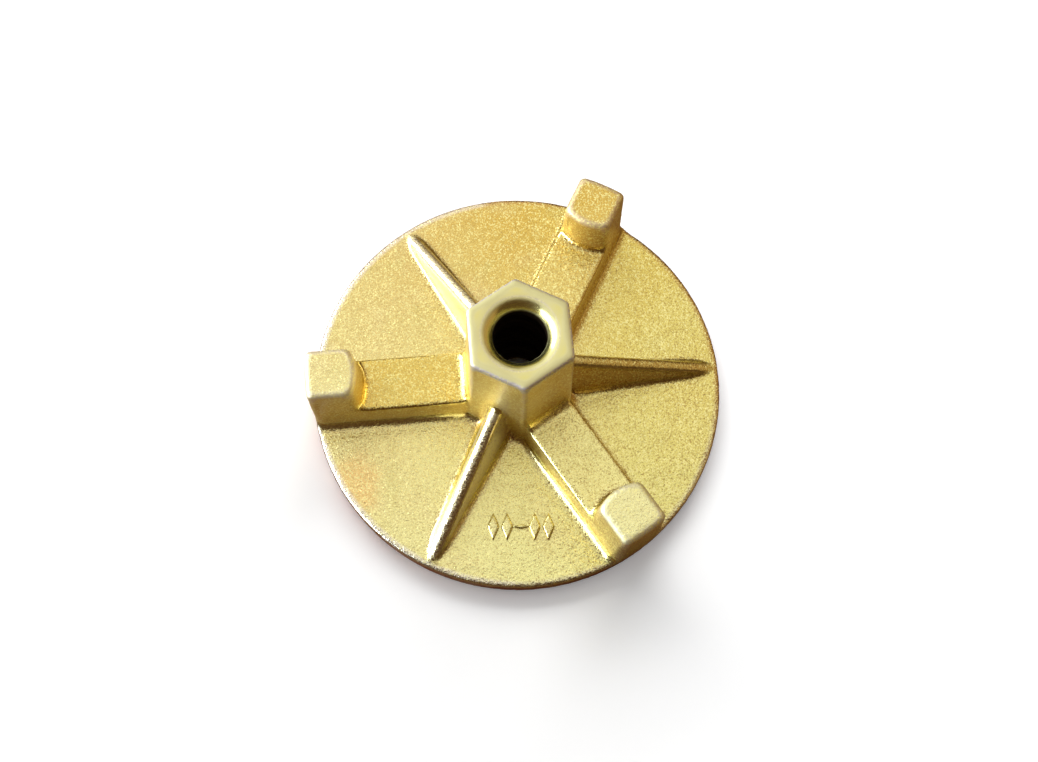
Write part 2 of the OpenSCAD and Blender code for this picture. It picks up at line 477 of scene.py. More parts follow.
@dataclass(frozen=True)
class Layer:
    """A colour, how strongly it covers what is under it, and where."""

    colour: Colour
    strength: float = 1.0
    zone: Zone = ()

    def over(
        self, spot: Spot, under: Feed, share: Feed = 1.0, colour: Feed | None = None
    ) -> Wire:
        """Lay the layer over a colour.

        Args:
            spot: The spot.
            under: The colour under it.
            share: A further share, on top of the zone and the strength.
            colour: A colour that varies, in place of the layer's own.

        Returns:
            The covered colour.
        """
        share = share * spot.within(self.zone) * self.strength
        return spot.board.blend(share, under, rgb(self.colour) if colour is None else colour)


@dataclass(frozen=True)
class PlatedIron:
    """Yellow zinc plating over sand-cast iron.

    The coat is a thin metal film. It is warmer towards the far side of the
    flange and greener towards the near side, darker in the hollows from dirt
    and painted shade, paler on the edges, smooth on the machined top of the
    hub and painted nearly black inside the bore as painted shade. As painted
    light it is also paler to the left and on the left ribs' faces and crests,
    pale grey on the near left of the rim's edge and browner on the upright
    faces to the right.
    """

    flecks: Mottle = Mottle(0.48 * MM, 1.0, 0.5, 3.1)
    grain: Mottle = Mottle(0.75 * MM, 2.0, 0.65, 5.7)
    lumps: Mottle = Mottle(2.2 * MM, 2.0, 0.5, 8.2)
    clouds: Mottle = Mottle(9 * MM, 3.0, 0.6, 2.4)
    patches: Mottle = Mottle(26 * MM, 2.0, 0.55, 1.3)
    left_lean: float = 0.4
    near_lean: float = 0.5
    stain_at: tuple[float, float] = (-53 * MM, -29 * MM)
    stain_radius: float = 12 * MM
    stain_rag: float = 1.2

    near: Colour = (0.86, 0.83, 0.33)
    far: Colour = (0.70, 0.48, 0.085)
    near_y: float = -55 * MM
    far_y: float = 55 * MM
    drift_spread: float = 0.8
    pale: Colour = (0.79, 0.67, 0.31)
    # Painted light: the coat is paler towards the left, where the key lamp falls; the pale patches
    # are the coat's own tone.
    pale_left_painted_light: Bound = Bound(Measure.X, 50 * MM, -60 * MM, -0.35, 0.45)
    pale_patch: Bound = Bound(Measure.PATCH, 0.48, 0.70, 0.0, 0.45)
    bar_heights: Zone = (
        Bound(Measure.Z, PLATE_TOP + 2 * MM, PLATE_TOP + 6 * MM),
        Bound(Measure.Z, LUG_TOP - 4.4 * MM, LUG_TOP - 8.4 * MM),
    )
    bar_unpaled: float = 0.85

    bar_gold: Layer = Layer(
        (0.70, 0.49, 0.07), 0.7, (*bar_heights, Bound(Measure.X, -5 * MM, -20 * MM))
    )
    lug_pale: Layer = Layer(
        (0.95, 0.93, 0.52), 0.45,
        (
            Bound(Measure.Z, LUG_TOP - 2.4 * MM, LUG_TOP - 0.9 * MM),
            Bound(Measure.Z, HUB_TOP - 9 * MM, HUB_TOP - 14 * MM),
            Bound(Measure.Y, 10 * MM, -20 * MM),
        ),
    )
    right_gold: Layer = Layer(
        (0.74, 0.66, 0.12), 0.40,
        (Bound(Measure.X, 0.0, 40 * MM), Bound(Measure.Z, PLATE_TOP + 2 * MM, PLATE_TOP)),
    )
    olive: Layer = Layer((0.60, 0.52, 0.15), 0.50, (Bound(Measure.CLOUD, 0.50, 0.78),))
    stain: Layer = Layer((0.86, 0.53, 0.17), 0.60, (Bound(Measure.STAIN, 1.0, 0.2),))
    # Dirt and painted shade: concave places are darkened brown, partly as dirt, partly as the
    # shade that falls in them.
    hollow: Layer = Layer((0.42, 0.24, 0.075), 0.85, (Bound(Measure.EDGE, -0.3, -2.5),))

    rust: Colour = (0.44, 0.14, 0.055)
    arris: Colour = (0.66, 0.62, 0.60)
    # The rim's top edge: rust-coloured, painted pale grey towards the near left as a painted
    # highlight.
    rim_edge_rust_and_highlight: Layer = Layer(
        arris, 0.55,
        (
            Bound(Measure.EDGE, 0.2, 0.8),
            Bound(Measure.RADIUS, RIM_RADIUS - 3 * MM, RIM_RADIUS),
            Bound(Measure.Z, RIM_TOP, RIM_TOP + 0.8 * MM),
        ),
    )
    rim_highlight_side: Bound = Bound(Measure.NEAR_LEFT, -25 * MM, 10 * MM)

    upright: Layer = Layer((0.84, 0.60, 0.17), 0.65, (Bound(Measure.LEVEL, 0.45, 0.20),))
    # Painted shade: upright faces right of the middle and not on the far side are painted browner.
    upright_painted_shade: Layer = Layer(
        (0.70, 0.42, 0.12), 1.0,
        (Bound(Measure.X, 2 * MM, 10 * MM), Bound(Measure.Y, 12 * MM, 4 * MM)),
    )
    # Painted highlight: the left ribs' upright faces are painted pale, so the key lamp's
    # reflection on them comes out white.
    left_ribs_painted_highlight: Layer = Layer(
        (0.95, 0.90, 0.70), 1.0,
        (Bound(Measure.BESIDE, 12 * MM, 16 * MM), Bound(Measure.X, -3 * MM, -8 * MM)),
    )
    # Painted highlight: the crests of the left ribs are painted pale as well.
    left_crests_painted_highlight: Layer = Layer(
        left_ribs_painted_highlight.colour, 0.6, (Bound(Measure.EDGE, 0.3, 1.2), *left_ribs_painted_highlight.zone)
    )
    worn: Layer = Layer(
        (0.84, 0.76, 0.74), 0.35,
        (
            Bound(Measure.EDGE, 0.5, 1.6),
            Bound(Measure.Z, WEAR_LOW, WEAR_HIGH),
            Bound(Measure.CLOUD, 0.30, 0.60, 0.5, 1.0),
        ),
    )
    hub_arris: Layer = Layer(
        arris, 0.85,
        (Bound(Measure.EDGE, 0.25, 0.9), Bound(Measure.Z, HUB_TOP - 5 * MM, HUB_TOP - 2 * MM)),
    )

    machined: Layer = Layer((0.73, 0.69, 0.22), 0.7)
    fleck_dark: Layer = Layer(
        (0.36, 0.22, 0.05), 1.0,
        (
            Bound(Measure.FLECK, 0.47, 0.30),
            Bound(Measure.NEAR_RIGHT, -30 * MM, 60 * MM, 0.32, 0.75),
            Bound(Measure.Z, LUG_TOP - 6.4 * MM, LUG_TOP - 2.4 * MM, 1.0, 0.35),
        ),
    )
    fleck_light: Layer = Layer(
        (1.0, 0.93, 0.38), 1.0,
        (Bound(Measure.FLECK, 0.52, 0.66), Bound(Measure.X, -30 * MM, 50 * MM, 0.75, 1.0)),
    )
    rim_band: Layer = Layer(
        rust, 1.0,
        (
            Bound(Measure.RADIUS, RIM_RADIUS - 1.0 * MM, RIM_RADIUS - 0.3 * MM),
            Bound(Measure.Z, RIM_TOP + 1.0 * MM, RIM_TOP),
            Bound(Measure.CLOUD, 0.30, 0.60, 0.60, 1.0),
        ),
    )
    # Painted shade: the bore's wall is painted nearly black, for the shade inside it.
    bore_shade: Layer = Layer((0.055, 0.035, 0.018))

    hub_face: Zone = (Bound(Measure.Z, HUB_TOP - 0.5 * MM, HUB_TOP - 0.2 * MM),)
    hub_mouth: Zone = (
        Bound(Measure.RADIUS, MOUTH_RADIUS + 0.8 * MM, MOUTH_RADIUS + 0.3 * MM),
        Bound(Measure.Z, MOUTH_FLOOR - 1.0 * MM, MOUTH_FLOOR - 0.4 * MM),
    )
    bore_wall: Zone = (
        Bound(Measure.RADIUS, BORE_RADIUS + 1.9 * MM, BORE_RADIUS + 1.1 * MM),
        Bound(Measure.Z, MOUTH_FLOOR + 0.4 * MM, MOUTH_FLOOR - 1.2 * MM),
        Bound(Measure.Z, LEAD_IN - 4 * MM, LEAD_IN),
    )
    rubbed: Zone = (Bound(Measure.EDGE, 0.4, 1.1), Bound(Measure.Z, WEAR_LOW, WEAR_HIGH))

    metallic: float = 1.0
    coat: float = 0.30
    coat_index: float = 1.8
    coat_roughness: float = 0.22
    rough_level: Bound = Bound(Measure.FLECK, 0.32, 0.68, 0.20, 0.36)
    turned: Bound = Bound(Measure.LEVEL, 0.95, 0.72)
    rough_turned: float = 0.24
    steep: Bound = Bound(Measure.LEVEL, 0.50, 0.25)
    rough_steep: float = 0.52
    rough_machined: float = 0.27
    rough_rubbed: float = 0.62
    rough_bore: float = 0.60
    grain_depth: float = 0.28 * MM
    lump_depth: float = 0.20 * MM
    grain_share: Bound = Bound(Measure.LEVEL, 0.72, 0.95, 0.12, 1.0)
    machined_grain: float = 0.03

    def make(self, name: str) -> bpy.types.Material:
        """Build the material.

        Args:
            name: The material's name.

        Returns:
            The material, patterned on Object coordinates.
        """
        made, board = blank_material(name)
        spot = Spot(board, self)
        machined = spot.within(self.hub_face).most(spot.within(self.hub_mouth))
        # Where the bore's wall is painted nearly black as painted shade.
        bore_shaded = spot.within(self.bore_wall)
        colour = self._coat(spot)
        colour = self._flecked(spot, colour, machined)
        surface = board.node(
            "ShaderNodeBsdfPrincipled",
            values={
                "Base Color": self.bore_shade.over(spot, colour, bore_shaded),
                "Metallic": self.metallic,
                "Roughness": self._roughness(spot, machined, bore_shaded),
                "Coat Weight": self.coat,
                "Coat IOR": self.coat_index,
                "Coat Roughness": self.coat_roughness,
                "Normal": self._bump(spot, machined),
            },
        )
        board.node("ShaderNodeOutputMaterial", values={"Surface": surface})
        return made

    def _ground(self, spot: Spot) -> Wire:
        """The coat from its near to its far colour, pale in patches, and paler to the left as
        painted light.

        Args:
            spot: The spot.

        Returns:
            The colour wire.
        """
        along = (spot.measures[Measure.Y] - self.near_y) / (self.far_y - self.near_y)
        drift = along + (spot.measures[Measure.PATCH] - 0.5) * self.drift_spread
        colour = spot.board.blend(drift.clamped(), rgb(self.near), rgb(self.far))
        paled = (spot.step(self.pale_patch) + spot.step(self.pale_left_painted_light)).clamped()
        paled = paled * (1.0 - spot.within(self.bar_heights) * self.bar_unpaled)
        return spot.board.blend(paled, colour, rgb(self.pale))

    def _coat(self, spot: Spot) -> Wire:
        """The plating's colour with its painted light and shade, before its flecks.

        Args:
            spot: The spot.

        Returns:
            The colour wire.
        """
        board = spot.board
        colour = self._ground(spot)
        for layer in (
            self.bar_gold, self.lug_pale, self.right_gold, self.olive, self.stain, self.hollow,
        ):
            colour = layer.over(spot, colour)
        # The rim edge's colour: rust, turning pale grey towards the near left as a painted
        # highlight.
        edge = board.blend(spot.step(self.rim_highlight_side), rgb(self.rust), rgb(self.arris))
        colour = self.rim_edge_rust_and_highlight.over(spot, colour, colour=edge)
        # Upright faces: browner to the right as painted shade, paler on the left ribs as a painted
        # highlight.
        side = self.upright_painted_shade.over(spot, rgb(self.upright.colour))
        side = self.left_ribs_painted_highlight.over(spot, side)
        colour = self.upright.over(spot, colour, colour=side)
        for layer in (self.left_crests_painted_highlight, self.worn, self.hub_arris):
            colour = layer.over(spot, colour)
        return colour

    def _flecked(self, spot: Spot, colour: Wire, machined: Wire) -> Wire:
        """The coat with its dark and light flecks and its rusty rim.

        Args:
            spot: The spot.
            colour: The coat's colour.
            machined: The share of machined metal, which has no flecks.

        Returns:
            The colour wire.
        """
        cast = 1.0 - machined
        colour = self.machined.over(spot, colour, machined)
        colour = self.fleck_dark.over(spot, colour, cast)
        colour = self.fleck_light.over(spot, colour, cast)
        return self.rim_band.over(spot, colour)

    def _roughness(self, spot: Spot, machined: Wire, bore_shaded: Wire) -> Wire:
        """How dull the coat is: duller where it is steep, rubbed or in the painted-dark bore.

        Args:
            spot: The spot.
            machined: The share of machined metal.
            bore_shaded: The share of the bore's painted shade.

        Returns:
            The roughness wire.
        """
        roughness = spot.step(self.rough_level)
        for share, value in (
            (spot.step(self.turned), self.rough_turned),
            (spot.step(self.steep), self.rough_steep),
            (machined, self.rough_machined),
            (spot.within(self.rubbed), self.rough_rubbed),
            (bore_shaded, self.rough_bore),
        ):
            roughness = roughness + share * (value - roughness)
        return roughness

    def _bump(self, spot: Spot, machined: Wire) -> Wire:
        """The grain and lumps of the cast skin, strongest on level faces.

        Args:
            spot: The spot.
            machined: The share of machined metal, which has next to none.

        Returns:
            The normal wire.
        """
        grain = (self.grain.at(spot.place) - 0.5) * self.grain_depth
        lumps = (self.lumps.at(spot.place) - 0.5) * self.lump_depth
        share = spot.step(self.grain_share) * (1.0 - machined * (1.0 - self.machined_grain))
        height = (grain + lumps) * share
        return spot.board.node("ShaderNodeBump", values={"Height": height, "Distance": 1.0})


@dataclass(frozen=True)
class StudioFloor:
    """A plain floor, white to the camera, that keeps the object's shadow."""

    shade: Colour = (0.95, 0.95, 0.95)
    mirrored: Colour = (0.20, 0.115, 0.045)
    mirrored_pale: Colour = (0.36, 0.31, 0.23)
    pale_way: tuple[float, float] = (-0.8, 0.6)
    pale_from: float = 20 * MM
    pale_to: float = 120 * MM
    lift: float = 0.13
    clear_radius: float = 50 * MM
    bore_reach: float = 11.2 * MM
    plate_reach: float = 63.5 * MM
    fade: float = 0.1 * MM
    white_from: float = 110 * MM
    white_to: float = 260 * MM

    def make(self, name: str) -> bpy.types.Material:
        """Build the material.

        Args:
            name: The material's name.

        Returns:
            The material.
        """
        made, board = blank_material(name)
        seen = board.node("ShaderNodeLightPath", out="Is Camera Ray")
        x, y, _ = board.split(board.node("ShaderNodeTexCoord", out="Object"))
        away = board.radius(x, y)
        pale = x * self.pale_way[0] + y * self.pale_way[1]
        pale = pale.ramp(self.pale_from, self.pale_to)
        mirrored = board.blend(pale, rgb(self.mirrored), rgb(self.mirrored_pale))
        shade = board.blend(board.other(seen, "Is Glossy Ray"), rgb(self.shade), mirrored)
        lit = board.node("ShaderNodeBsdfDiffuse", values={"Color": shade})
        beside = away.math("GREATER_THAN", self.clear_radius)
        lifted = away.ramp(self.white_from, self.white_to, self.lift, 1.0)
        glow = board.node("ShaderNodeEmission", values={"Strength": seen * beside * lifted})
        surface = board.node("ShaderNodeAddShader", values={0: lit, 1: glow})
        below = board.node("ShaderNodeNewGeometry", out="Backfacing")
        under = away.ramp(self.bore_reach, self.bore_reach + self.fade)
        under = under * away.ramp(self.plate_reach + self.fade, self.plate_reach)
        clear = board.node("ShaderNodeBsdfTransparent")
        surface = board.node(
            "ShaderNodeMixShader", values={0: below.most(under), 1: surface, 2: clear}
        )
        board.node("ShaderNodeOutputMaterial", values={"Surface": surface})
        return made


# ---- geometry trees


class Recipe:
    """A geometry tree with named inputs, run once on an object's mesh."""

    def __init__(self, name: str) -> None:
        """Start an empty recipe.

        Args:
            name: The tree's name.
        """
        self.tree = bpy.data.node_groups.new(name, "GeometryNodeTree")
        self.board = Board(self.tree)
        self.ins: dict[str, Wire] = {}
        self.keys: dict[str, str] = {}
        self._sockets: list[tuple[str, object]] = []
        self._input("Geometry", "NodeSocketGeometry", None)

    def _input(self, name: str, kind: str, value: object) -> None:
        """Declare one named input of the tree.

        Args:
            name: The input's name.
            kind: Its socket type.
            value: What it is set to, None for the geometry.
        """
        item = self.tree.interface.new_socket(name, in_out="INPUT", socket_type=kind)
        self.keys[name] = item.identifier
        self._sockets.append((name, value))

    def numbers(self, **values: float) -> None:
        """Declare number inputs, by name."""
        for name, value in values.items():
            self._input(name, "NodeSocketFloat", value)

    def counts(self, **values: int) -> None:
        """Declare whole-number inputs, by name."""
        for name, value in values.items():
            self._input(name, "NodeSocketInt", value)

    def material(self, value: bpy.types.Material) -> None:
        self._input("material", "NodeSocketMaterial", value)

    def begin(self) -> None:
        """Add the input node, whose wires are then in ins, by name."""
        self.tree.interface.new_socket(
            "Geometry", in_out="OUTPUT", socket_type="NodeSocketGeometry"
        )
        first = self.tree.nodes.new("NodeGroupInput")
        for i, (name, _) in enumerate(self._sockets):
            self.ins[name] = Wire(self.board, first.outputs[i])

    def end(self, shape: Wire) -> None:
        """Make the result real, give it the material and add the output node.

        Args:
            shape: The finished geometry.
        """
        board = self.board
        shape = board.node("GeometryNodeRealizeInstances", values={0: shape})
        shape = board.node("GeometryNodeSetShadeSmooth", values={"Geometry": shape})
        shape = board.node(
            "GeometryNodeSetMaterial",
            values={"Geometry": shape, "Material": self.ins["material"]},
        )
        last = self.tree.nodes.new("NodeGroupOutput")
        board.feed(last.inputs[0], shape)

    def run(self, host: bpy.types.Object) -> None:
        """Put the tree on an object and bake every modifier into its mesh.

        Args:
            host: The object, whose mesh is replaced by the result.
        """
        worker = host.modifiers.new(self.tree.name, "NODES")
        worker.node_group = self.tree
        for name, value in self._sockets:
            if value is not None:
                worker[self.keys[name]] = value
        graph = bpy.context.evaluated_depsgraph_get()
        graph.update()
        result = bpy.data.meshes.new_from_object(host.evaluated_get(graph), depsgraph=graph)
        before = host.data
        host.modifiers.clear()
        host.data = result
        bpy.data.meshes.remove(before)


def place_object(name: str, data: bpy.types.ID) -> bpy.types.Object:
    """Put a mesh, a lamp or a camera in the scene, at the origin.

    Args:
        name: The object's name.
        data: Its mesh, lamp or camera.

    Returns:
        The new object.
    """
    made = bpy.data.objects.new(name, data)
    bpy.context.scene.collection.objects.link(made)
    return made


class PlatedPart:
    """A sub-assembly that wears the plating all over."""

    def dress(self, piece: bpy.types.Object, finish: bpy.types.Material) -> None:
        """Give the piece its finish.

        Args:
            piece: The piece.
            finish: Its material.
        """
        piece.data.materials.clear()
        piece.data.materials.append(finish)


# ---- the casting


@dataclass
class RodThread:
    """The coarse right-hand thread that runs through the bore."""

    crest_radius: float = BORE_RADIUS
    depth: float = 1.05 * MM
    pitch: float = 10 * MM
    crest_share: float = 0.40
    flank_share: float = 0.18
    lead: float = 0.3
    low_end: float = LEAD_IN
    high_end: float = 50 * MM
    run_in: float = 4 * MM

    def radius(self, board: Board, angle: Wire, z: Wire) -> Wire:
        """The thread's radius at an angle and a height.

        Args:
            board: The tree's board.
            angle: The angle about the bore, in radians.
            z: The height.

        Returns:
            The radius of the threaded wall there.
        """
        turn = (z / self.pitch - angle / math.tau + self.lead).math("FRACT")
        from_groove = abs(turn - 0.5) * 2.0
        edge = 1.0 - self.crest_share
        groove = from_groove.ramp(edge - self.flank_share, edge + self.flank_share, 1.0, 0.0)
        cut = z.ramp(self.high_end, self.high_end - self.run_in)
        cut = cut * z.ramp(self.low_end, self.low_end + self.run_in)
        return groove * cut * self.depth + self.crest_radius


@dataclass
class Casting(PlatedPart):
    """The cast body: flange, hub, wings and ribs in one skin."""

    voxel: float = 0.66 * MM
    melt_steps: int = 2
    hold: float = 0.9
    mouth_steps: int = 9
    mouth_reach: float = 12.5 * MM
    mouth_full: float = 0.95
    mouth_depth: float = 3 * MM
    mouth_fade: float = 0.7
    swell_depth: float = 0.16 * MM
    swell_size: float = 9 * MM
    pit_depth: float = 0.12 * MM
    pit_size: float = 2.2 * MM
    layers: float = 1.0
    seed: float = 4.0
    edge_steps: int = 14
    edge_depth: float = 0.22 * MM
    seat_inner: float = 15 * MM
    seat_outer: float = 61.5 * MM
    seat_flat: float = 0.02 * MM
    seat_blend: float = 1.4 * MM
    hair: float = 1e-3 * MM
    thread: RodThread = field(default_factory=RodThread)

    def build(self) -> bpy.types.Object:
        """Grow the skin from the CAD node.

        Returns:
            The casting's object.
        """
        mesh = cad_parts[NODE].data.copy()
        mesh.materials.clear()
        self._merge(mesh)
        made = place_object("casting", mesh)
        skin = made.modifiers.new("even_skin", "REMESH")
        skin.mode = "VOXEL"
        skin.voxel_size = self.voxel
        skin.adaptivity = 0.0
        self._recipe().run(made)
        self._thin_seat(made.data)
        return made

    def _merge(self, mesh: bpy.types.Mesh) -> None:
        """Join the CAD copy's loose triangles into one closed skin.

        Args:
            mesh: The copy of the CAD node's mesh.
        """
        work = bmesh.new()
        work.from_mesh(mesh)
        bmesh.ops.remove_doubles(work, verts=work.verts, dist=self.hair)
        work.to_mesh(mesh)
        work.free()

    def _recipe(self) -> Recipe:
        """The tree that melts, threads and roughens the skin.

        Returns:
            The recipe, ready to run.
        """
        low, high = CAD_BOX
        recipe = Recipe("cast_skin")
        recipe.counts(
            melt_steps=self.melt_steps, edge_steps=self.edge_steps, mouth_steps=self.mouth_steps,
        )
        recipe.numbers(
            hold=self.hold, edge_depth=self.edge_depth,
            mouth_reach=self.mouth_reach, mouth_depth=self.mouth_depth,
            swell_depth=self.swell_depth, swell_size=self.swell_size,
            pit_depth=self.pit_depth, pit_size=self.pit_size, seed=self.seed,
            low_z=low.z, high_z=high.z, rim_radius=high.x,
            seat_flat=self.seat_flat, seat_blend=self.seat_blend,
        )
        recipe.material(bpy.data.materials[METAL_SLOT])
        recipe.begin()
        shape = recipe.ins["Geometry"]
        for step in (
            self._melted, self._flared, self._edges_noted,
            self._roughened, self._threaded, self._held_in_box,
        ):
            shape = step(recipe, shape)
        recipe.end(shape)
        return recipe

    @staticmethod
    def _moved(board: Board, shape: Wire, place: Wire) -> Wire:
        """The shape with its points put at the given places."""
        return board.node("GeometryNodeSetPosition", values={"Geometry": shape, "Position": place})

    def _melted(self, recipe: Recipe, shape: Wire) -> Wire:
        """Soften the skin's edges, as a mould leaves them, at its full size.

        Args:
            recipe: The tree under construction.
            shape: The skin.

        Returns:
            The softened skin.
        """
        ins, board = recipe.ins, recipe.board
        soft = board.blurred(board.position(), ins["melt_steps"])
        softer = board.blurred(soft, ins["melt_steps"])
        lost = board.vector("SUBTRACT", soft, softer)
        kept = board.vector("ADD", soft, board.scaled(lost, ins["hold"]))
        return self._moved(board, shape, kept)

    def _flared(self, recipe: Recipe, shape: Wire) -> Wire:
        """Round the edge of the countersink over, as wear and casting leave it.

        Args:
            recipe: The tree under construction.
            shape: The skin.

        Returns:
            The skin with a soft mouth to its bore.
        """
        ins, board = recipe.ins, recipe.board
        place = board.position()
        x, y, z = board.split(place)
        inner = board.radius(x, y).ramp(ins["mouth_reach"], ins["mouth_reach"] * self.mouth_full)
        below = (ins["high_z"] - z) / ins["mouth_depth"]
        share = inner * below.ramp(1.0, self.mouth_fade)
        smooth = board.vector("SUBTRACT", board.blurred(place, ins["mouth_steps"]), place)
        return self._moved(board, shape, board.vector("ADD", place, board.scaled(smooth, share)))

    def _edges_noted(self, recipe: Recipe, shape: Wire) -> Wire:
        """Note on each point how far it stands out, and how level it is.

        Args:
            recipe: The tree under construction.
            shape: The skin.

        Returns:
            The skin with two notes: EDGE, about 1 on an edge and below 0 in
            a hollow, and LEVEL, 1 for facing straight up.
        """
        ins, board = recipe.ins, recipe.board
        place = board.position()
        around = board.blurred(place, ins["edge_steps"])
        away = board.vector("SUBTRACT", place, around)
        height = board.vector("DOT_PRODUCT", away, board.outward())
        height = board.other(height, "Value") / ins["edge_depth"]
        shape = board.noted(shape, EDGE, height)
        return board.level_noted(shape)

    def _roughened(self, recipe: Recipe, shape: Wire) -> Wire:
        """Give the skin the low swells and small pits of a sand mould.

        Args:
            recipe: The tree under construction.
            shape: The skin.

        Returns:
            The uneven skin; the flat seat stays flat.
        """
        ins, board = recipe.ins, recipe.board
        place = board.position()
        z = board.split(place)[2]
        swell = board.noise(place, ins["swell_size"], self.layers, seed=ins["seed"])
        pits = board.noise(place, ins["pit_size"], self.layers, seed=ins["seed"])
        above_seat = z.ramp(ins["seat_flat"], ins["seat_blend"])
        sunk = (swell * ins["swell_depth"] + pits * ins["pit_depth"]) * above_seat * -1.0
        moved = board.vector("ADD", place, board.scaled(board.outward(), sunk))
        return self._moved(board, shape, moved)

    def _threaded(self, recipe: Recipe, shape: Wire) -> Wire:
        """Cut the rod thread into the wall of the bore.

        Args:
            recipe: The tree under construction.
            shape: The skin.

        Returns:
            The threaded skin.
        """
        board = recipe.board
        x, y, z = board.split(board.position())
        radius = board.radius(x, y).most(self.hair)
        angle = y.math("ARCTAN2", x)
        grown = radius.most(self.thread.radius(board, angle, z)) / radius
        return self._moved(board, shape, board.join(x * grown, y * grown, z))

    def _held_in_box(self, recipe: Recipe, shape: Wire) -> Wire:
        """Keep the skin inside the CAD part's own height and rim.

        Args:
            recipe: The tree under construction.
            shape: The skin.

        Returns:
            The skin, nowhere outside the part's box.
        """
        ins, board = recipe.ins, recipe.board
        x, y, z = board.split(board.position())
        radius = board.radius(x, y).most(self.hair)
        inside = (ins["rim_radius"] / radius).least(1.0)
        level = z.most(ins["low_z"]).least(ins["high_z"])
        return self._moved(board, shape, board.join(x * inside, y * inside, level))

    def _thin_seat(self, mesh: bpy.types.Mesh) -> None:
        """Replace the many cells of the flat bearing face by a few long ones.

        Args:
            mesh: The casting's mesh.
        """
        work = bmesh.new()
        work.from_mesh(mesh)
        for side in (-1, 1):
            flat = [f for f in work.faces if self._in_seat(f, side)]
            merged = bmesh.ops.dissolve_faces(work, faces=flat, use_verts=True)["region"]
            bmesh.ops.triangulate(work, faces=merged)
        work.to_mesh(mesh)
        work.free()

    def _in_seat(self, cell: bmesh.types.BMFace, side: int) -> bool:
        """Whether a cell lies wholly in the flat seat, on one side of the bore.

        Args:
            cell: The cell.
            side: 1 for the far half of the seat, -1 for the near half.

        Returns:
            True where it does.
        """
        if cell.calc_center_median().y * side <= 0:
            return False
        return all(
            abs(v.co.z) < self.seat_flat and self.seat_inner < v.co.xy.length < self.seat_outer
            for v in cell.verts
        )


# ---- the raised mark


@dataclass
class FoundryMark(PlatedPart):
    """A row of raised lozenges with a short dash in the middle, cast on."""

    centre: tuple[float, float] = (-3.1 * MM, -46.2 * MM)
    turn: float = math.radians(-4.8)
    pitch: float = 4.25 * MM
    count: int = 5
    width: float = 3.3 * MM
    height: float = 7.4 * MM
    raised: float = 0.90 * MM
    foot: float = 0.5 * MM
    dash_width: float = 1.5
    dash_height: float = 0.16
    flange_top: float = PLATE_TOP
    rings: int = 9
    sides: int = 32
    roundness: float = 1.08
    foot_spread: float = 1.18
    crown_spread: float = 0.46
    draft: float = 2.5
    foot_edge: float = -3.5
    crown_edge: float = 0.5

    def build(self) -> bpy.types.Object:
        """Set one lozenge out along the row.

        Returns:
            The mark's object.
        """
        made = place_object("foundry_mark", self._lozenge())
        recipe = Recipe("foundry_row")
        recipe.counts(count=self.count, middle=self.count // 2)
        recipe.numbers(
            pitch=self.pitch, dash_width=self.dash_width, dash_height=self.dash_height,
            turn=self.turn, centre_x=self.centre[0], centre_y=self.centre[1],
            base_z=self.flange_top,
        )
        recipe.material(bpy.data.materials[METAL_SLOT])
        recipe.begin()
        ins, board = recipe.ins, recipe.board
        along = board.join(ins["pitch"], 0.0, 0.0)
        start = board.join(ins["pitch"] * ins["middle"] * -1.0, 0.0, 0.0)
        line = board.node(
            "GeometryNodeMeshLine", {"mode": "OFFSET"},
            {"Count": ins["count"], "Start Location": start, "Offset": along},
        )
        index = board.node("GeometryNodeInputIndex")
        is_dash = 1.0 - abs(index - ins["middle"]).least(1.0)
        wide = is_dash * (ins["dash_width"] - 1.0) + 1.0
        tall = is_dash * (ins["dash_height"] - 1.0) + 1.0
        rise = board.split(board.position())[2]
        # The foot is noted as a deep hollow, so the finish darkens it there with dirt and painted
        # shade.
        edge = rise.ramp(0.0, self.raised, self.foot_edge, self.crown_edge)
        shape = board.level_noted(board.noted(ins["Geometry"], EDGE, edge))
        row = board.node(
            "GeometryNodeInstanceOnPoints",
            values={"Points": line, "Instance": shape, "Scale": board.join(wide, tall, 1.0)},
        )
        row = board.node(
            "GeometryNodeTransform",
            values={
                "Geometry": row,
                "Translation": board.join(ins["centre_x"], ins["centre_y"], ins["base_z"]),
                "Rotation": board.join(0.0, 0.0, ins["turn"]),
            },
        )
        recipe.end(row)
        recipe.run(made)
        return made

    def _lozenge(self) -> bpy.types.Mesh:
        """One closed lozenge with a flat crown and a spread foot.

        Returns:
            Its mesh, centred on its own base.
        """
        work = bmesh.new()
        loops = [self._ring(work, i / (self.rings - 1)) for i in range(self.rings)]
        crown = work.verts.new((0.0, 0.0, self.raised))
        base = work.verts.new((0.0, 0.0, -self.foot))
        for i in range(self.sides):
            j = (i + 1) % self.sides
            for low, high in zip(loops, loops[1:]):
                work.faces.new((low[i], low[j], high[j], high[i]))
            work.faces.new((loops[-1][i], loops[-1][j], crown))
            work.faces.new((loops[0][j], loops[0][i], base))
        mesh = bpy.data.meshes.new("lozenge")
        work.to_mesh(mesh)
        work.free()
        return mesh

    def _ring(self, work: bmesh.types.BMesh, share: float) -> list[bmesh.types.BMVert]:
        """One ring of the lozenge.

        Args:
            work: The mesh under construction.
            share: How far up the lozenge the ring is, 0 at the foot.

        Returns:
            The ring's points.
        """
        lift = (self.raised + self.foot) * math.sin(share * math.pi / 2) - self.foot
        widened = (self.foot_spread - self.crown_spread) * (1.0 - share**self.draft)
        spread = self.crown_spread + widened
        points = []
        for side in range(self.sides):
            angle = math.tau * side / self.sides
            x, y = math.cos(angle), math.sin(angle)
            reach = (abs(x) ** self.roundness + abs(y) ** self.roundness) ** (-1 / self.roundness)
            reach *= spread / 2
            points.append(work.verts.new((x * reach * self.width, y * reach * self.height, lift)))
        return points


# ---- the studio


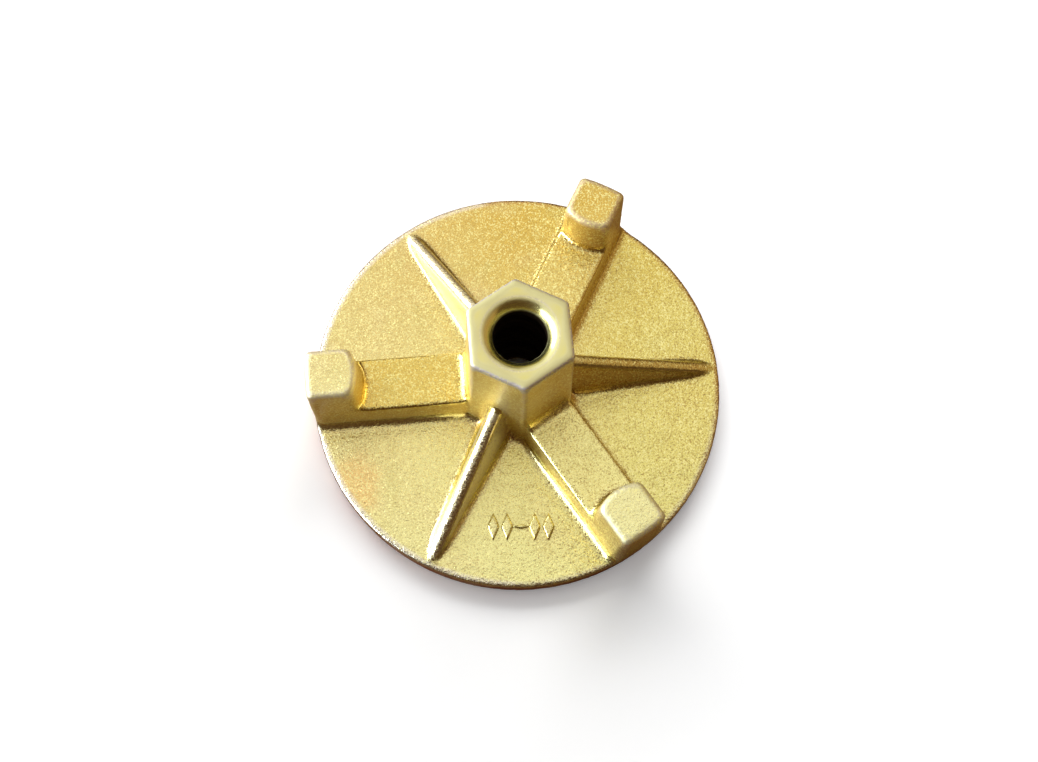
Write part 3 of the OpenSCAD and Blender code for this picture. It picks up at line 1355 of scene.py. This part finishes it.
@dataclass(frozen=True)
class SoftLamp:
    """One rectangular soft lamp that looks at the object."""

    kind: Lamp
    azimuth: float
    elevation: float
    distance: float
    width: float
    height: float
    radiance: float
    tint: Colour = (1.0, 1.0, 1.0)
    mirrored: bool = True
    diffused: bool = True

    def build(self, target: Vector) -> bpy.types.Object:
        """Hang the lamp.

        Args:
            target: The point that it looks at.

        Returns:
            The lamp's object.
        """
        data = bpy.data.lights.new(self.kind.value, "AREA")
        data.shape = "RECTANGLE"
        data.size, data.size_y = self.width, self.height
        data.energy = self.radiance * math.pi * self.width * self.height
        data.color = self.tint
        made = place_object(self.kind.value, data)
        a, e = math.radians(self.azimuth), math.radians(self.elevation)
        away = Vector((math.cos(a) * math.cos(e), math.sin(a) * math.cos(e), math.sin(e)))
        made.location = target + away * self.distance
        made.rotation_euler = (-away).to_track_quat("-Z", "Y").to_euler()
        made.visible_camera = False
        made.visible_glossy = self.mirrored
        made.visible_diffuse = self.diffused
        return made


@dataclass
class Studio:
    """Floor, world, lamps and camera."""

    floor_half: float = 3.0
    floor_gap: float = 0.05 * MM
    world_shade: float = 0.10
    world_below: Colour = (0.75, 0.73, 0.70)
    world_mirrored: Colour = (0.10, 0.055, 0.026)
    below_from: float = -0.02
    below_to: float = -0.10
    lamps: tuple[SoftLamp, ...] = (
        SoftLamp(
            Lamp.KEY, azimuth=172.0, elevation=20.0, distance=1.10, width=1.60, height=0.58,
            radiance=9.5, tint=(0.80, 0.88, 1.12), diffused=False,
        ),
        SoftLamp(
            Lamp.FILL, azimuth=112.0, elevation=22.0, distance=1.10, width=1.10, height=0.70,
            radiance=0.70, diffused=False,
        ),
        SoftLamp(
            Lamp.SKY, azimuth=92.0, elevation=69.0, distance=1.40, width=2.10, height=2.30,
            radiance=0.95,
        ),
        SoftLamp(
            Lamp.BACK, azimuth=93.0, elevation=38.0, distance=1.10, width=1.30, height=0.60,
            radiance=5.9, mirrored=False,
        ),
        SoftLamp(
            Lamp.SIDE, azimuth=6.0, elevation=26.0, distance=1.10, width=1.60, height=0.90,
            radiance=0.42, tint=(1.0, 0.72, 0.42), diffused=False,
        ),
    )
    eye: Vector = field(default_factory=lambda: Vector((-14.2, -102.0, 339.3)) * MM)
    look: Vector = field(default_factory=lambda: Vector((0.0422, 0.2946, -0.9547)))
    up: Vector = field(default_factory=lambda: Vector((0.0802, 0.9515, 0.2971)))
    lens: float = 37.725
    sensor: float = 36.0
    clip: tuple[float, float] = (0.01, 20.0)

    def build(self) -> None:
        """Set up everything that isn't part of the object."""
        low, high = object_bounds()
        middle = (low + high) / 2
        self._floor(low.z)
        self._world()
        for lamp in self.lamps:
            lamp.build(middle)
        self._camera(middle)
        view = bpy.context.scene.view_settings
        view.view_transform = "Standard"

    def _floor(self, level: float) -> None:
        """Lay the floor.

        Args:
            level: The height that the object stands at.
        """
        mesh = bpy.data.meshes.new("floor")
        half = self.floor_half
        corners = [(-half, -half), (half, -half), (half, half), (-half, half)]
        clear = level - self.floor_gap
        mesh.from_pydata([(x, y, clear) for x, y in corners], [], [(0, 1, 2, 3)])
        floor = place_object("floor", mesh)
        floor.data.materials.append(StudioFloor().make("floor_white"))
        floor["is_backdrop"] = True

    def _world(self) -> None:
        """Surround the scene with an even pale light, white to the camera."""
        world = bpy.data.worlds.new("studio")
        world.use_nodes = True
        world.node_tree.nodes.clear()
        board = Board(world.node_tree)
        seen = board.node("ShaderNodeLightPath", out="Is Camera Ray")
        white = rgb((1.0, 1.0, 1.0))
        shade = board.blend(self.world_shade, rgb((0.0, 0.0, 0.0)), white)
        rise = board.split(board.node("ShaderNodeTexCoord", out="Generated"))[2]
        below = rise.ramp(self.below_from, self.below_to)
        mirrored = board.blend(below, rgb(self.world_mirrored), rgb(self.world_below))
        shade = board.blend(board.other(seen, "Is Glossy Ray"), shade, mirrored)
        shade = board.blend(seen, shade, white)
        mixed = board.node("ShaderNodeBackground", values={"Color": shade})
        board.node("ShaderNodeOutputWorld", values={"Surface": mixed})
        bpy.context.scene.world = world

    def _camera(self, middle: Vector) -> None:
        """Place the camera.

        Args:
            middle: The middle of the object; not used.
        """
        data = bpy.data.cameras.new("camera")
        data.lens = self.lens
        data.sensor_width = self.sensor
        data.sensor_fit = "HORIZONTAL"
        data.clip_start, data.clip_end = self.clip
        made = place_object("camera", data)
        back = -self.look.normalized()
        right = self.up.cross(back).normalized()
        above = back.cross(right)
        turned = Matrix((right, above, back)).transposed().to_4x4()
        made.matrix_world = Matrix.Translation(self.eye) @ turned
        bpy.context.scene.camera = made


# ---- the whole


def report(piece: bpy.types.Object) -> None:
    """Log a finished piece's size.

    Args:
        piece: The piece.
    """
    triangles = sum(len(p.vertices) - 2 for p in piece.data.polygons)
    log.info("%s: %d vertices, %d triangles", piece.name, len(piece.data.vertices), triangles)


def main() -> None:
    """Build the pieces in order, dress them and set up the studio."""
    logging.basicConfig(level=logging.INFO, format="%(name)s: %(message)s")
    finish = PlatedIron().make(METAL_SLOT)
    for part in (Casting(), FoundryMark()):
        piece = part.build()
        part.dress(piece, finish)
        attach(piece, BODY)
        if isinstance(part, Casting):
            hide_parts(NODE)
        report(piece)
    Studio().build()


if __name__ == "__main__":
    main()
